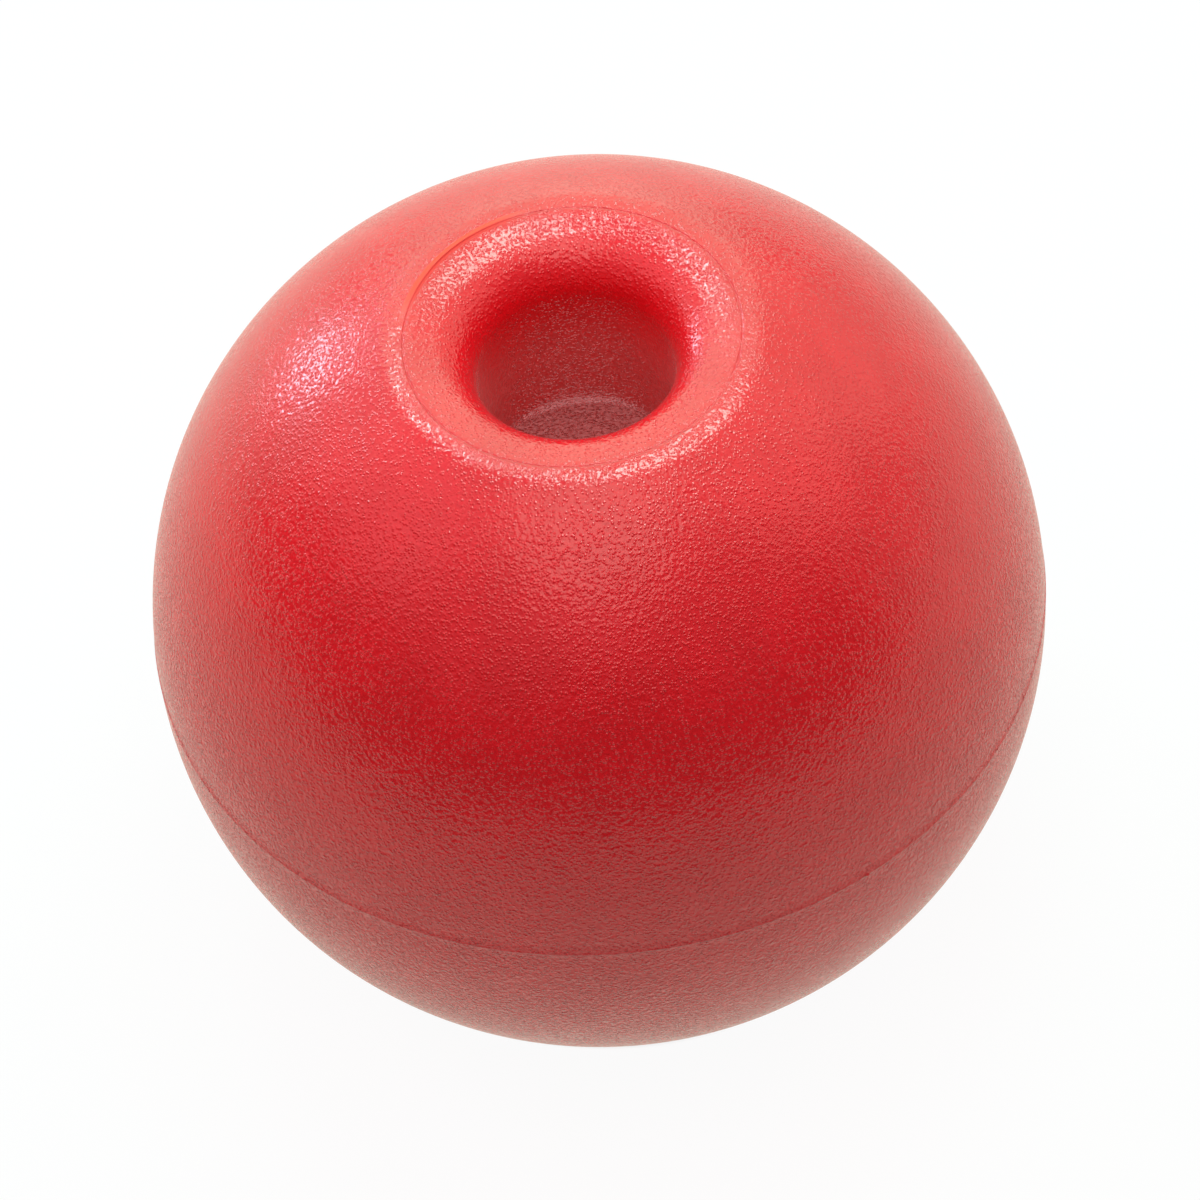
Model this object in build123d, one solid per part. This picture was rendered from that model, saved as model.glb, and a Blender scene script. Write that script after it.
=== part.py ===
from build123d import *
import math
import os

# Driving sizes of the ball
ball_diameter = 32.0
parting_ridge_height = 0.05
parting_ridge_width = 0.30

# Driving sizes of the dished mouth and the neck that the cord runs through. Both ends of the bore
# roll over in a soft blend, which reaches this far from its corner along each side.
mouth_edge_diameter = 12.0
dish_slope = 15.0
flare_reach = 1.7
bore_diameter = 7.0
neck_outlet_reach = 2.3

# Driving sizes of the recess that hides the knot, and of the flat ring that the ball stands on.
# The recess is wider at its rim than at its roof by the widening on each side, so its core draws.
recess_roof_diameter = 18.0
recess_roof_height = 5.5
recess_widening = 0.3
recess_corner_chamfer = 1.2
base_land_width = 1.0
base_edge_chamfer = 0.3

# Radii and heights that follow from them, with heights counted from the ball's centre
ball_radius = ball_diameter / 2
mouth_radius = mouth_edge_diameter / 2
bore_radius = bore_diameter / 2
recess_roof_radius = recess_roof_diameter / 2
mouth_edge_height = math.sqrt(ball_radius**2 - mouth_radius**2)
dish_fall = math.tan(math.radians(dish_slope))
throat_height = mouth_edge_height - (mouth_radius - bore_radius) * dish_fall
recess_rim_radius = recess_roof_radius + recess_widening
base_height = -math.sqrt(ball_radius**2 - (recess_rim_radius + base_land_width) ** 2)


def ball_section():
    """The half disc of the ball, with X as radius and Y as height, and its parting ridge."""
    foot_height = parting_ridge_width / 2
    foot_radius = math.sqrt(ball_radius**2 - foot_height**2)
    ridge = Polyline(
        (foot_radius, -foot_height),
        (ball_radius + parting_ridge_height, 0),
        (foot_radius, foot_height),
    )
    slant = ball_radius / math.sqrt(2)
    lower = ThreePointArc((0, -ball_radius), (slant, -slant), ridge @ 0)
    upper = ThreePointArc(ridge @ 1, (slant, slant), (0, ball_radius))
    axis_line = Line((0, ball_radius), (0, -ball_radius))
    return make_face([lower.edge(), *ridge.edges(), upper.edge(), axis_line.edge()])


def rolled_edge(before, corner, after, reach):
    """A soft blend over the corner between two straight lines of a section."""
    start = corner + (before - corner).normalized() * reach
    end = corner + (after - corner).normalized() * reach
    return Bezier(start, corner, end)


def passage_section():
    """All that is taken out: dished mouth, bore, knot recess and what lies below the base."""
    overrun_height = mouth_edge_height + (ball_radius - mouth_radius) * dish_fall
    dish_start = Vector(ball_radius, overrun_height)
    throat = Vector(bore_radius, throat_height)
    outlet = Vector(bore_radius, recess_roof_height)
    roof_corner = Vector(recess_roof_radius, recess_roof_height)
    flare = rolled_edge(dish_start, throat, outlet, flare_reach)
    neck_outlet = rolled_edge(throat, outlet, roof_corner, neck_outlet_reach)
    recess_and_below = Polyline(
        neck_outlet @ 1,
        roof_corner,
        (recess_rim_radius, base_height),
        (ball_radius, base_height),
        (ball_radius, -ball_radius),
        (0, -ball_radius),
        (0, overrun_height),
        dish_start,
    )
    dish = Line(dish_start, flare @ 0)
    bore = Line(flare @ 1, neck_outlet @ 0)
    outline = [dish, flare, bore, neck_outlet, recess_and_below]
    return make_face([edge for line in outline for edge in line.edges()])


def corner(face, radius, height):
    """The vertex of a half section nearest to a given radius and height."""
    return face.vertices().sort_by_distance(Vector(radius, height, 0))[0]


def knob_section():
    """The moulded wall left between ball and passage, with the corners of its recess eased."""
    face = (ball_section() - passage_section()).face()
    face = chamfer(corner(face, recess_roof_radius, recess_roof_height), recess_corner_chamfer)
    face = chamfer(corner(face, recess_rim_radius, base_height), base_edge_chamfer)
    return face


# The whole knob is one moulded piece, turned about the cord's axis and stood on its base ring
ball_knob = Pos(0, 0, -base_height) * revolve(Plane.XZ * knob_section(), Axis.Z, 360)
ball_knob.label = "ball_knob"
ball_knob.color = Color(0.78, 0.05, 0.06)

os.makedirs("parts", exist_ok=True)
export_step(ball_knob, "parts/ball_knob.step")
print("ball centre stands", round(-base_height, 4), "mm above the base")
print("volume in mm3", round(ball_knob.volume, 1), "lowest point", round(ball_knob.bounding_box().min.Z, 6))
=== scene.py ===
import math

import bmesh
import bpy
from mathutils import Matrix, Vector


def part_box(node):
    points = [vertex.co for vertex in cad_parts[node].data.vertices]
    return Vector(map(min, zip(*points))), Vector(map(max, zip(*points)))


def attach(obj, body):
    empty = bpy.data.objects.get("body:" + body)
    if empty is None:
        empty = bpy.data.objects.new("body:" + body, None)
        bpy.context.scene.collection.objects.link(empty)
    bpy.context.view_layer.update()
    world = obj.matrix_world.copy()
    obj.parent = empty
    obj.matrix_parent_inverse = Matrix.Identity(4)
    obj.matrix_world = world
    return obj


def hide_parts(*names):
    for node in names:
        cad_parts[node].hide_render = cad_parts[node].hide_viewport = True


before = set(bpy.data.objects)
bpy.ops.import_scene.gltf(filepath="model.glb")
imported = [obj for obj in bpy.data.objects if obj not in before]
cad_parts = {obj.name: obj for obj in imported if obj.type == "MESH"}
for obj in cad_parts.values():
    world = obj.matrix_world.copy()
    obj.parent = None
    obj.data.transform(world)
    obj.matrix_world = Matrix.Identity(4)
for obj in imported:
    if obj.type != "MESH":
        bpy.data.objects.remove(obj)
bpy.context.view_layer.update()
mm = 0.001

# The moulded ball: lengths in metres, angles in degrees
ball = {
    "parting ridge height": 0.024 * mm,
    "parting ridge half width": 0.06 * mm,
    "box ridge height": 0.05 * mm,      # how far the solid's own ridge stands out of its sphere
    "mouth radius": 6.0 * mm,
    "mouth edge shift": 0.2 * mm,       # the sharp edge before easing, outside the closing line
    "mouth edge ease": 0.72 * mm,
    "mouth edge steps": 26,
    "bevel share": 0.98,                # of that ease, so that the bevel ends before the shoulder
    "dish slope": 15,
    "bore radius": 3.5 * mm,
    "flare reach": 1.5 * mm,
    "flare steps": 18,
    "recess roof above centre": 5.5 * mm,
    "neck outlet reach": 2.0 * mm,
    "neck outlet steps": 14,
    "recess roof radius": 9.0 * mm,
    "recess corner ease": 1.2 * mm,
    "recess corner steps": 6,
    "recess rim radius": 9.3 * mm,
    "base land width": 1.0 * mm,
    "base edge ease": 0.3 * mm,
    "outer edge ease": 0.08 * mm,
    "base edge steps": 3,
    "arc steps": 44,                    # along each half of the ball's outline
    "long edge": 1.2 * mm,              # straight edges longer than this are divided
    "long edge cuts": 7,
    "turn steps": 288,
    "merge distance": 0.0005 * mm,
    "sharp from": 32,
}
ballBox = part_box("ball_knob")
ballRadius = (ballBox[1].x - ballBox[0].x) / 2 - ball["box ridge height"]
mouthEdgeHeight = math.sqrt(ballRadius**2 - ball["mouth radius"]**2)
ballCentre = Vector((0, 0, ballBox[1].z - mouthEdgeHeight))

# The flash at the mouth's edge: a fin of skin where the core closed, tallest at the back left.
# Angles are in degrees. "Middle" and "from" count outwards from the mouth's radius.
flash = {
    "half width": 0.15 * mm,
    "low height": 0.008 * mm,
    "tall height": 0.070 * mm,
    "tall at": 133,                     # round from +X
    "tall spread": 22,
    "search depth": 1.0 * mm,           # nothing further below the mouth's edge is raised
    # where the flash's painted glow and painted shade lie
    "colour full": 15,                  # to each side of the tallest place
    "colour ends": 36,
    "colour middle": 0.04 * mm,
    "colour full width": 0.14 * mm,
    "colour end width": 0.20 * mm,
    "orange from": 0.05 * mm,
}

# The small nib that was left on the parting ridge
nib = {"at": -58.3, "radius": 0.09 * mm, "sunk": 0.05 * mm}


def addPoint(bm, radius, height):
    return bmesh.ops.create_vert(bm, co=(radius, 0, ballCentre.z + height))["vert"][0]


def joinUp(bm, points):
    for near, far in zip(points, points[1:]):
        bm.edges.new((near, far))


def sweepUp(bm, start, angle):             # an arc about the ball's centre, from a point upwards
    swept = bmesh.ops.spin(
        bm, geom=[start], cent=ballCentre, axis=(0, -1, 0), angle=angle, steps=ball["arc steps"]
    )
    return swept["geom_last"][0]


def easeCorner(bm, point, reach, steps):
    bmesh.ops.bevel(
        bm, geom=[point], offset=reach, offset_type="OFFSET", segments=steps,
        profile=0.5, affect="VERTICES", material=-1,
    )


def drawSection(bm):
    rimRadius = ball["recess rim radius"]
    landRadius = rimRadius + ball["base land width"]
    baseHeight = -ballCentre.z
    dishFall = math.tan(math.radians(ball["dish slope"]))
    sharpRadius = ball["mouth radius"] + ball["mouth edge shift"]
    sharpHeight = math.sqrt(ballRadius**2 - sharpRadius**2)
    throatHeight = sharpHeight - (sharpRadius - ball["bore radius"]) * dishFall
    roofHeight = ball["recess roof above centre"]
    ridgeFoot = math.asin(ball["parting ridge half width"] / ballRadius)

    # up the outside: base edge, lower half, parting ridge, upper half
    baseEdge = addPoint(bm, landRadius, baseHeight)
    lowerSweep = math.asin(-baseHeight / ballRadius) - ridgeFoot
    lowerFoot = sweepUp(bm, baseEdge, lowerSweep)
    ridgeTip = addPoint(bm, ballRadius + ball["parting ridge height"], 0)
    upperFoot = addPoint(bm, ballRadius * math.cos(ridgeFoot), ball["parting ridge half width"])
    joinUp(bm, [lowerFoot, ridgeTip, upperFoot])
    upperSweep = math.asin(sharpHeight / ballRadius) - ridgeFoot
    easeSweep = ball["mouth edge ease"] / ballRadius
    shoulder = sweepUp(bm, upperFoot, upperSweep - easeSweep)
    mouthEdge = addPoint(bm, sharpRadius, sharpHeight)

    # down through the mouth, the neck and the recess, and back along the base
    throat = addPoint(bm, ball["bore radius"], throatHeight)
    outlet = addPoint(bm, ball["bore radius"], roofHeight)
    roofCorner = addPoint(bm, ball["recess roof radius"], roofHeight)
    rim = addPoint(bm, rimRadius, baseHeight)
    joinUp(bm, [shoulder, mouthEdge, throat, outlet, roofCorner, rim, baseEdge])
    easeCorner(bm, baseEdge, ball["outer edge ease"], ball["base edge steps"])
    easeCorner(bm, mouthEdge, ball["bevel share"] * ball["mouth edge ease"], ball["mouth edge steps"])
    easeCorner(bm, throat, ball["flare reach"], ball["flare steps"])
    easeCorner(bm, outlet, ball["neck outlet reach"], ball["neck outlet steps"])
    easeCorner(bm, roofCorner, ball["recess corner ease"], ball["recess corner steps"])
    easeCorner(bm, rim, ball["base edge ease"], ball["base edge steps"])


def turnFrom(angle, start):                # how far round two angles lie apart, in degrees
    return abs((angle - start + 180) % 360 - 180)


def raiseFlash(bm):
    lowest = ballCentre.z + mouthEdgeHeight - flash["search depth"]
    for vert in bm.verts:
        angle = math.degrees(math.atan2(vert.co.y, vert.co.x))
        away = abs(math.hypot(vert.co.x, vert.co.y) - ball["mouth radius"]) / flash["half width"]
        if away < 1 and vert.co.z > lowest:
            tall = math.exp(-(turnFrom(angle, flash["tall at"]) / flash["tall spread"])**2)
            rise = flash["low height"] + tall * (flash["tall height"] - flash["low height"])
            vert.co.z += rise * math.cos(away * math.pi / 2)**2


def addNib(bm):
    turn = math.radians(nib["at"])
    out = Vector((math.cos(turn), math.sin(turn), 0))
    place = ballCentre + out * (ballRadius + ball["parting ridge height"] - nib["sunk"])
    bmesh.ops.create_icosphere(
        bm, subdivisions=2, radius=nib["radius"], matrix=Matrix.Translation(place)
    )


def makeBall():
    bm = bmesh.new()
    drawSection(bm)
    longEdges = [edge for edge in bm.edges if edge.calc_length() > ball["long edge"]]
    bmesh.ops.subdivide_edges(bm, edges=longEdges, cuts=ball["long edge cuts"])
    bmesh.ops.spin(
        bm, geom=bm.verts[:] + bm.edges[:], cent=(0, 0, 0), axis=(0, 0, 1),
        angle=2 * math.pi, steps=ball["turn steps"], use_merge=True,
    )
    bmesh.ops.remove_doubles(bm, verts=bm.verts[:], dist=ball["merge distance"])
    raiseFlash(bm)
    addNib(bm)
    bmesh.ops.recalc_face_normals(bm, faces=bm.faces[:])
    mesh = bpy.data.meshes.new("mouldedBall")
    bm.to_mesh(mesh)
    bm.free()
    for face in mesh.polygons:
        face.use_smooth = True
    mesh.set_sharp_from_angle(angle=math.radians(ball["sharp from"]))
    made = bpy.data.objects.new("mouldedBall", mesh)
    bpy.context.scene.collection.objects.link(made)
    return made


mouldedBall = makeBall()
print("ball spun,", len(mouldedBall.data.polygons), "faces")


# Shader maths: an output socket that can stand in a sum, or the bare tree before it has one
class Wire:
    def __init__(self, tree, socket=None):
        self.tree = tree
        self.socket = socket

    def node(self, kind, settings=None, sockets=None, out=0):
        made = self.tree.nodes.new(kind)
        for name, value in (settings or {}).items():
            setattr(made, name, value)
        for name, value in (sockets or {}).items():
            if isinstance(value, Wire):
                self.tree.links.new(value.socket, made.inputs[name])
            else:
                made.inputs[name].default_value = value
        return Wire(self.tree, made.outputs[out] if made.outputs else None)

    def output(self, name):                # another output of the same node
        return Wire(self.tree, self.socket.node.outputs[name])

    def maths(self, operation, first, second=None):
        sockets = {0: first} if second is None else {0: first, 1: second}
        return self.node("ShaderNodeMath", {"operation": operation}, sockets)

    def __add__(self, other):
        return self.maths("ADD", self, other)

    def __radd__(self, other):
        return self.maths("ADD", other, self)

    def __sub__(self, other):
        return self.maths("SUBTRACT", self, other)

    def __rsub__(self, other):
        return self.maths("SUBTRACT", other, self)

    def __mul__(self, other):
        return self.maths("MULTIPLY", self, other)

    def __rmul__(self, other):
        return self.maths("MULTIPLY", other, self)

    def __truediv__(self, other):
        return self.maths("DIVIDE", self, other)

    def __rtruediv__(self, other):
        return self.maths("DIVIDE", other, self)

    def __pow__(self, other):
        return self.maths("POWER", self, other)


def newMaterial(name):
    material = bpy.data.materials.new(name)
    material.use_nodes = True
    material.node_tree.nodes.clear()
    return material, Wire(material.node_tree)


def mixColour(tree, factor, first, second):
    return tree.node("ShaderNodeMix", {"data_type": "RGBA"}, {0: factor, 6: first, 7: second}, out=2)


def fade(tree, value, start, end):         # 0 at start, 1 at end, soft in between
    settings = {"interpolation_type": "SMOOTHSTEP"}
    sockets = {"Value": value, "From Min": start, "From Max": end, "To Min": 0.0, "To Max": 1.0}
    return tree.node("ShaderNodeMapRange", settings, sockets)


# The red plastic: colours are linear and lengths in metres. "From" and "full" are heights above
# the ball's centre. A tint, painted light or paleness is how far one colour goes over into another.
plastic = {
    "red": (0.74, 0.0048, 0.0120, 1),
    "deep red": (0.69, 0.0042, 0.0105, 1),
    # painted light from below in the recess and lower bore, and the colour the parting ridge goes a
    # little towards
    "pale red": (0.72, 0.235, 0.225, 1),
    # the flash's painted light: deep red as painted shade on its inner side, orange as painted glow of
    # light through the thin fin
    "flash painted shade red": (0.78, 0.022, 0.012, 1),
    "flash painted glow orange": (0.90, 0.050, 0.010, 1),
    "flash painted light share": 0.85,
    "flash roughness": 0.7,
    "roughness": 0.19,
    "cloudy roughness": 0.10,           # how much the clouds of the pigment change it
    "recess roughness": 0.12,           # how much rougher the recess is
    "ior": 1.58,
    "sheen": 0.07,
    "sheen roughness": 0.35,
    "dot pitch": 0.115 * mm,
    "dot radius": 0.58,                 # counted in dot pitches
    "dot depth": 0.017 * mm,
    "ground pitch": 0.16 * mm,
    "ground detail": 0.6,
    "ground depth": 0.028 * mm,
    "low grain": 1.0,                   # how much deeper the grain is in the lower part
    "low grain from": 9.0 * mm,
    "low grain full": 2.0 * mm,
    "mouth from": 14.0 * mm,            # the flash's colour and the closing line lie above this
    "mouth full": 14.3 * mm,
    "seam inset": 0.06 * mm,
    "seam half width": 0.07 * mm,
    "seam depth": 0.030 * mm,
    "cloud pitch": 2.5 * mm,
    "cloud detail": 3.0,
    "cloud breakup": 0.5,
    "cloud range": (0.35, 0.65),
    # how pale the recess and lower bore are painted, as painted light from below
    "even painted light": 0.3,
    "patchy painted light": 1.4,
    "recess roof fade": 0.3 * mm,
    "recess rim fade": 0.5 * mm,
    "bore painted light": 0.33,
    "bore wall fade": 0.7 * mm,
    "bore painted light from": 12.5 * mm,
    "bore painted light full": 9.5 * mm,
    "ridge paleness": 0.5,
    "ridge wall fade": 0.1 * mm,
}

# One dark fleck in the pigment, on the right: its place is counted from the ball's centre
fleck = {
    "place": Vector((15.3, -0.4, 4.68)) * mm,
    "radius": 0.10 * mm,
    "core radius": 0.03 * mm,
    "colour": (0.12, 0.02, 0.02, 1),
    "tint": 0.7,
}


def redPlastic():
    material, tree = newMaterial("redPlastic")
    place = tree.node("ShaderNodeTexCoord", out=3)
    x = tree.node("ShaderNodeSeparateXYZ", {}, {0: place})
    y = x.output("Y")
    height = x.output("Z") - ballCentre.z
    fromAxis = (x * x + y * y) ** 0.5

    # the spark-eroded grain: small domes over a broken ground
    nearest = tree.node(
        "ShaderNodeTexVoronoi", {"voronoi_dimensions": "3D", "feature": "F1"},
        {"Vector": place, "Scale": 1 / plastic["dot pitch"]},
    )
    ground = tree.node(
        "ShaderNodeTexNoise", {"noise_dimensions": "3D"},
        {"Vector": place, "Scale": 1 / plastic["ground pitch"], "Detail": plastic["ground detail"]},
    )
    dots = fade(tree, nearest, plastic["dot radius"], 0.0)
    relief = ground * plastic["ground depth"] + dots * plastic["dot depth"]

    # the grain is deeper round the ball's widest part and below it
    lowDown = fade(tree, height, plastic["low grain from"], plastic["low grain full"])
    relief = relief * (1 + plastic["low grain"] * lowDown)

    # the tall stretch of the flash is smooth, and painted: orange on its outer side as painted glow of
    # light shining through the thin fin, deep red on its inner side as painted shade beside it
    turn = math.radians(flash["tall at"])
    facing = (x * math.cos(turn) + y * math.sin(turn)) / fromAxis
    faintest = math.cos(math.radians(flash["colour ends"]))
    fullest = math.cos(math.radians(flash["colour full"]))
    along = fade(tree, facing, faintest, fullest)
    outwards = fromAxis - ball["mouth radius"]
    offMiddle = tree.maths("ABSOLUTE", outwards - flash["colour middle"])
    across = fade(tree, offMiddle, flash["colour end width"], flash["colour full width"])
    atMouth = fade(tree, height, plastic["mouth from"], plastic["mouth full"])
    onFlash = atMouth * along * across
    outerSide = fade(tree, outwards, 0.0, flash["orange from"])
    flashPaintedLight = mixColour(tree, outerSide, plastic["flash painted shade red"], plastic["flash painted glow orange"])
    relief = relief * (1 - onFlash)

    # the closing line of the core, a fine groove just inside the mouth's edge
    offSeam = tree.maths("ABSOLUTE", fromAxis - (ball["mouth radius"] - plastic["seam inset"]))
    onSeam = atMouth * fade(tree, offSeam, plastic["seam half width"], 0.0)
    relief = relief - onSeam * plastic["seam depth"]

    # slow cloudiness of the pigment
    clouds = tree.node(
        "ShaderNodeTexNoise", {"noise_dimensions": "3D"},
        {"Vector": place, "Scale": 1 / plastic["cloud pitch"],
         "Detail": plastic["cloud detail"], "Roughness": plastic["cloud breakup"]},
    )
    clearest, thickest = plastic["cloud range"]
    cloudy = fade(tree, clouds, clearest, thickest)
    colour = mixColour(tree, cloudy, plastic["red"], plastic["deep red"])

    # painted light from below: the recess and the lower bore are painted paler, in patches, where
    # white light and sheen reach them from under the ball
    roof = ball["recess roof above centre"]
    roofFade = plastic["recess roof fade"]
    belowRoof = fade(tree, height, roof + roofFade, roof - roofFade)
    rimRadius = ball["recess rim radius"]
    inRecess = belowRoof * fade(tree, fromAxis, rimRadius + plastic["recess rim fade"], rimRadius)
    boreRadius = ball["bore radius"]
    inBore = fade(tree, fromAxis, boreRadius + plastic["bore wall fade"], boreRadius)
    inBore = inBore * fade(tree, height, plastic["bore painted light from"], plastic["bore painted light full"])
    patches = plastic["even painted light"] + plastic["patchy painted light"] * ground
    paintedLight = tree.maths("MAXIMUM", inRecess, plastic["bore painted light"] * inBore) * patches
    colour = mixColour(tree, paintedLight, colour, plastic["pale red"])
    # painted glow and painted shade on the flash
    colour = mixColour(tree, plastic["flash painted light share"] * onFlash, colour, flashPaintedLight)

    # the parting ridge is a little paler
    fromParting = tree.maths("ABSOLUTE", height)
    onRidge = fade(tree, fromParting, ball["parting ridge half width"], 0.0)
    onRidge = onRidge * fade(tree, fromAxis, ballRadius - plastic["ridge wall fade"], ballRadius)
    colour = mixColour(tree, plastic["ridge paleness"] * onRidge, colour, plastic["pale red"])

    fromFleck = tree.node(
        "ShaderNodeVectorMath", {"operation": "DISTANCE"},
        {0: place, 1: ballCentre + fleck["place"]}, out=1,
    )
    onFleck = fade(tree, fromFleck, fleck["radius"], fleck["core radius"])
    colour = mixColour(tree, fleck["tint"] * onFleck, colour, fleck["colour"])

    roughness = plastic["roughness"] + plastic["cloudy roughness"] * (clouds - 0.5)
    roughness = roughness + plastic["recess roughness"] * inRecess
    roughness = roughness + (plastic["flash roughness"] - roughness) * onFlash
    normal = tree.node("ShaderNodeBump", {}, {"Strength": 1.0, "Distance": 1.0, "Height": relief})
    surface = tree.node(
        "ShaderNodeBsdfPrincipled", {},
        {"Base Color": colour, "Roughness": roughness, "IOR": plastic["ior"],
         "Sheen Weight": plastic["sheen"], "Sheen Roughness": plastic["sheen roughness"],
         "Normal": normal},
    )
    tree.node("ShaderNodeOutputMaterial", {}, {"Surface": surface})
    return material


mouldedBall.data.materials.append(redPlastic())
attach(mouldedBall, "root")
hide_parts("ball_knob")
print("plastic made")

# The floor and the room: pale, near white to the camera, with the ball's faint shadow kept.
# Distances from the ball's axis are in metres.
stage = {
    "floor half size": 0.6,
    "floor colour": (0.80, 0.80, 0.80, 1),
    "white": (1, 1, 1, 1),
    "white share": 0.95,                # how much of what the camera sees is plain white
    "mirrored share": 1.0,              # the same for what the ball mirrors
    "mirrored colour": (1.0, 0.92, 0.78, 1),
    "mirrored room": 0.13,              # how bright the ball mirrors the room above the floor
    "dark from": -135 * mm,             # towards the camera the ball mirrors less and less white
    "pale from": -12 * mm,
    "shade radius": 10.0 * mm,          # within the base ring the floor stays in the dark
    "shade edge": 11.0 * mm,
}


def makeFloor():
    bm = bmesh.new()
    bmesh.ops.create_grid(bm, x_segments=1, y_segments=1, size=stage["floor half size"])
    mesh = bpy.data.meshes.new("paleFloor")
    bm.to_mesh(mesh)
    bm.free()
    made = bpy.data.objects.new("paleFloor", mesh)
    bpy.context.scene.collection.objects.link(made)

    material, tree = newMaterial("paleFloor")
    matt = tree.node("ShaderNodeBsdfDiffuse", {}, {"Color": stage["floor colour"]})
    seen = tree.node("ShaderNodeLightPath")
    tint = mixColour(tree, seen, stage["mirrored colour"], stage["white"])
    white = tree.node("ShaderNodeEmission", {}, {"Color": tint, "Strength": 1.0})
    place = tree.node("ShaderNodeTexCoord", out=3)
    distance = tree.node("ShaderNodeVectorMath", {"operation": "LENGTH"}, {0: place}, out=1)
    depth = tree.node("ShaderNodeSeparateXYZ", {}, {0: place}, out=1)
    mirrored = seen.output("Is Glossy Ray") * fade(tree, depth, stage["dark from"], stage["pale from"])
    share = tree.maths("MAXIMUM", seen * stage["white share"], mirrored * stage["mirrored share"])
    share = share * fade(tree, distance, stage["shade radius"], stage["shade edge"])
    both = tree.node("ShaderNodeMixShader", {}, {0: share, 1: matt, 2: white})
    tree.node("ShaderNodeOutputMaterial", {}, {"Surface": both})
    mesh.materials.append(material)
    return made


floor = makeFloor()

world = bpy.data.worlds.new("whiteRoom")
world.use_nodes = True
world.node_tree.nodes.clear()
room = Wire(world.node_tree)
rays = room.node("ShaderNodeLightPath")
roomLight = rays + stage["mirrored room"] * rays.output("Is Glossy Ray")
backdrop = room.node("ShaderNodeBackground", {}, {"Color": stage["white"], "Strength": roomLight})
room.node("ShaderNodeOutputWorld", {}, {"Surface": backdrop})
bpy.context.scene.world = world
print("floor and backdrop made")

# The lamps: round soft boxes. Azimuth 0 is the camera's side and 90 is +X. "Away" and "across"
# count in the ball's radii. The last one lies on the floor inside the recess and shines up.
lamps = {
    "top": {"azimuth": 138, "elevation": 69, "away": 8, "across": 2.7,
            "watts": 0.0540, "colour": (0.48, 1.00, 0.90)},
    "topFront": {"azimuth": 0, "elevation": 72, "away": 8, "across": 6,
                 "watts": 0.0400, "colour": (1.00, 0.97, 0.84)},
    "back": {"azimuth": 180, "elevation": 30, "away": 8, "across": 9,
             "watts": 0.1130, "colour": (0.20, 1.00, 0.78)},
    "left": {"azimuth": -90, "elevation": 46, "away": 8, "across": 6,
             "watts": 0.0400, "colour": (1.00, 0.40, 0.42)},
    "right": {"azimuth": 90, "elevation": 48, "away": 8, "across": 6,
              "watts": 0.0370, "colour": (1.00, 0.52, 0.46)},
    "leftFront": {"azimuth": -42, "elevation": 60, "away": 8, "across": 12,
                  "watts": 0.0270, "colour": (1.00, 0.88, 0.98)},
    "rightFront": {"azimuth": 42, "elevation": 60, "away": 8, "across": 12,
                   "watts": 0.0180, "colour": (1.00, 0.86, 0.96)},
    "leftBack": {"azimuth": -130, "elevation": 30, "away": 8, "across": 7,
                 "watts": 0.0300, "colour": (0.85, 0.98, 0.93)},
    "rightBack": {"azimuth": 130, "elevation": 30, "away": 8, "across": 7,
                  "watts": 0.0320, "colour": (0.85, 0.96, 0.78)},
    "rightLow": {"azimuth": 98, "elevation": 14, "away": 8, "across": 8,
                 "watts": 0.0130, "colour": (1.00, 0.95, 0.86)},
    "leftSpark": {"azimuth": -136, "elevation": 15, "away": 8, "across": 1.9,
                  "watts": 0.0280, "colour": (0.80, 0.84, 1.00)},
    "ringLeft": {"azimuth": -149, "elevation": 57, "away": 8, "across": 1.4,
                 "watts": 0.0300, "colour": (0.60, 1.00, 0.99)},
    "ringTop": {"azimuth": 178, "elevation": 74, "away": 8, "across": 1.6,
                "watts": 0.0240, "colour": (0.60, 1.00, 0.96)},
    "recessGlow": {"azimuth": 0, "elevation": -90, "away": 0.76, "across": 1,
                   "watts": 0.0007, "colour": (1.00, 0.60, 0.60)},
}


def hangLamp(name, azimuth, elevation, away, across, watts, colour):
    light = bpy.data.lights.new(name, "AREA")
    light.shape = "DISK"
    light.size = across * ballRadius
    light.energy = watts
    light.color = colour
    hung = bpy.data.objects.new(name, light)
    turn = math.radians(azimuth)
    lift = math.radians(elevation)
    out = Vector((math.sin(turn) * math.cos(lift), -math.cos(turn) * math.cos(lift), math.sin(lift)))
    facing = (-out).to_track_quat("-Z", "Y").to_matrix().to_4x4()
    hung.matrix_world = Matrix.Translation(ballCentre + out * away * ballRadius) @ facing
    hung.visible_camera = False
    bpy.context.scene.collection.objects.link(hung)


for lampName, lamp in lamps.items():
    hangLamp(lampName, **lamp)

# The camera looks down into the mouth, and leans so that the ball's axis tilts to the left.
# Its distance is counted from the ball's centre, in metres, and its angles are in degrees.
view = {
    "distance": 0.4104,
    "elevation": 50.7,
    "lean": 5.76,
    "lens": 343.41,
    "sensor": 36,
    "shift": (0.00075, 0.0004),
    "clip": (0.01, 10),
}


def placeCamera():
    optics = bpy.data.cameras.new("photoCamera")
    optics.sensor_width = view["sensor"]
    optics.lens = view["lens"]
    optics.shift_x, optics.shift_y = view["shift"]
    optics.clip_start, optics.clip_end = view["clip"]
    made = bpy.data.objects.new("photoCamera", optics)
    lift = math.radians(view["elevation"])
    back = Vector((0, -math.cos(lift), math.sin(lift)))
    facing = (-back).to_track_quat("-Z", "Y").to_matrix().to_4x4()
    leaning = Matrix.Rotation(-math.radians(view["lean"]), 4, "Z")
    made.matrix_world = Matrix.Translation(ballCentre + back * view["distance"]) @ facing @ leaning
    bpy.context.scene.collection.objects.link(made)
    bpy.context.scene.camera = made


placeCamera()
bpy.context.scene.view_settings.view_transform = "Standard"
print("lamps and camera placed")
